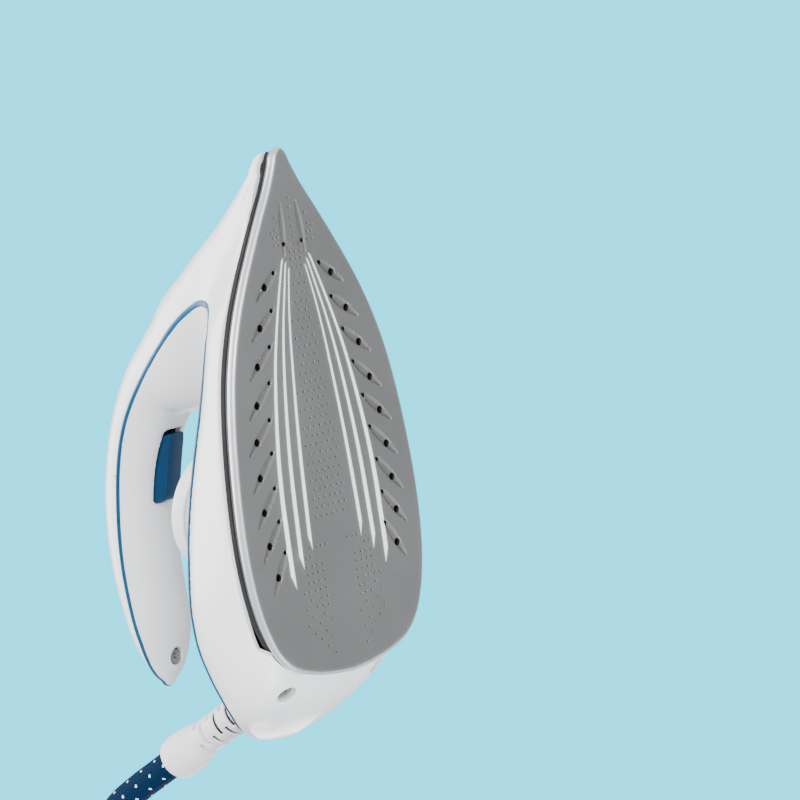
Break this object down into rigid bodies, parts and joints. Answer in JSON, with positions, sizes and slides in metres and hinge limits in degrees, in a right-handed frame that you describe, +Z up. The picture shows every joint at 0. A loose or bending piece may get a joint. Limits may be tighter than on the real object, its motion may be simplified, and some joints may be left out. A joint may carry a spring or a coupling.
{
  "type": "clothes iron",
  "caption": "Steam station iron handpiece with an open C-shaped handle, perforated soleplate, steam trigger, temperature dial and a sleeved hose coiled behind it.",
  "frame": {"origin": "middle of the sole's length and width, on the plane the sole stands on", "axes": "+X from the heel to the pointed nose, +Y to the left looking along +X, +Z up from the sole"},
  "size_m": [0.484, 0.1648, 0.1881],
  "materials": {
    "shell_white": "satin",
    "liner_grey": "matte",
    "trim_blue": "gloss",
    "sole_metal": "satin",
    "cast_metal": "cast",
    "gasket_black": "matte",
    "steel": "satin",
    "trigger_blue": "satin",
    "dark_plastic": "matte",
    "dial_white": "satin",
    "relief_grey": "matte",
    "hose_blue": "braided",
    "silicone": "matte",
    "brass": "satin"
  },
  "bodies": {
    "handpiece": {"outer_shell": "shell_white", "inner_liner": "liner_grey", "loop_trim": "trim_blue", "soleplate": "sole_metal", "skirt_gasket": "gasket_black", "heater_casting": "cast_metal", "heating_element": "steel", "steam_chamber_cover": "steel", "cover_screw_1": "steel", "cover_screw_2": "steel", "cover_screw_3": "steel", "cover_screw_4": "steel", "thermostat": "steel", "thermal_fuse": "dark_plastic", "terminal_block": "dark_plastic", "steam_inlet_tube": "silicone", "cord_clamp": "dark_plastic", "heel_screw_1": "steel", "heel_screw_2": "steel", "handle_screw": "steel", "trigger_pin": "steel", "trigger_spring": "steel", "microswitch": "dark_plastic", "strain_relief": "relief_grey", "hose": "hose_blue", "hose_coil": "hose_blue", "hose_tie": "dark_plastic", "station_gland": "relief_grey", "gland_nipple": "brass"},
    "trigger": {"steam_trigger": "trigger_blue"},
    "plunger": {"microswitch_plunger": "trim_blue"},
    "dial": {"temperature_dial": "dial_white", "dial_spindle": "steel"}
  },
  "joints": [
    {"name": "trigger_press", "type": "hinge", "parent": "handpiece", "child": "trigger", "pos_m": [-0.0365, 0, 0.1035], "axis": [0, -1, 0], "range_deg": [0, 5], "stiffness_Nm_per_rad": 0.5, "springref_deg": -5.73, "deforming": ["trigger_spring"]},
    {"name": "plunger_slide", "type": "slide", "parent": "handpiece", "child": "plunger", "axis": [0, 0, 1], "range_m": [0, 0.0022]},
    {"name": "dial_turn", "type": "hinge", "parent": "handpiece", "child": "dial", "pos_m": [-0.0425, 0, 0.0637], "axis": [0.1889, 0, 0.982], "range_deg": [-135, 135]}
  ],
  "couplings": [
    {"joint": "plunger_slide", "follows": "trigger_press", "m_per_rad": 0.0215}
  ]
}
